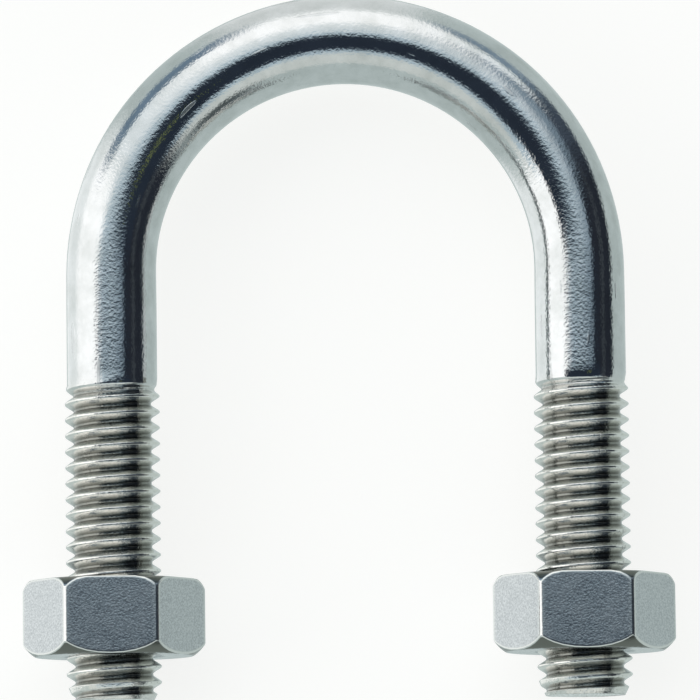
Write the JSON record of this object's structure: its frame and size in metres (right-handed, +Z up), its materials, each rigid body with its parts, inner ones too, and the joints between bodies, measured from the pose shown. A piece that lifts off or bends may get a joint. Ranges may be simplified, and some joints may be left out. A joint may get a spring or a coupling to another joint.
{
  "type": "u-bolt",
  "caption": "U-shaped bolt bent from round stainless rod, with a rolled thread and a chamfered hexagon nut on each leg, for clamping a small pipe to a bracket.",
  "frame": {"origin": "on the surface that the bolt lies on, under the middle of its length and width; both nuts rest there with one flat each", "axes": "+Y along the legs towards the arch, +X across the legs towards the right leg, +Z up, across the plane of the U and along the axis of the clamped pipe"},
  "size_m": [0.041, 0.0446, 0.01],
  "materials": {
    "polished_rod": "polished stainless steel, satin on the rolled threads",
    "plain_nut": "plain stainless steel, satin"
  },
  "bodies": {
    "u_rod": {"u_rod": "polished_rod"},
    "left_nut": {"left_nut": "plain_nut"},
    "right_nut": {"right_nut": "plain_nut"}
  },
  "joints": [
    {"name": "left_nut_travel", "type": "slide", "parent": "u_rod", "child": "left_nut", "axis": [0, 1, 0], "range_m": [-0.006, 0.011]},
    {"name": "right_nut_travel", "type": "slide", "parent": "u_rod", "child": "right_nut", "axis": [0, 1, 0], "range_m": [-0.006, 0.011]}
  ]
}
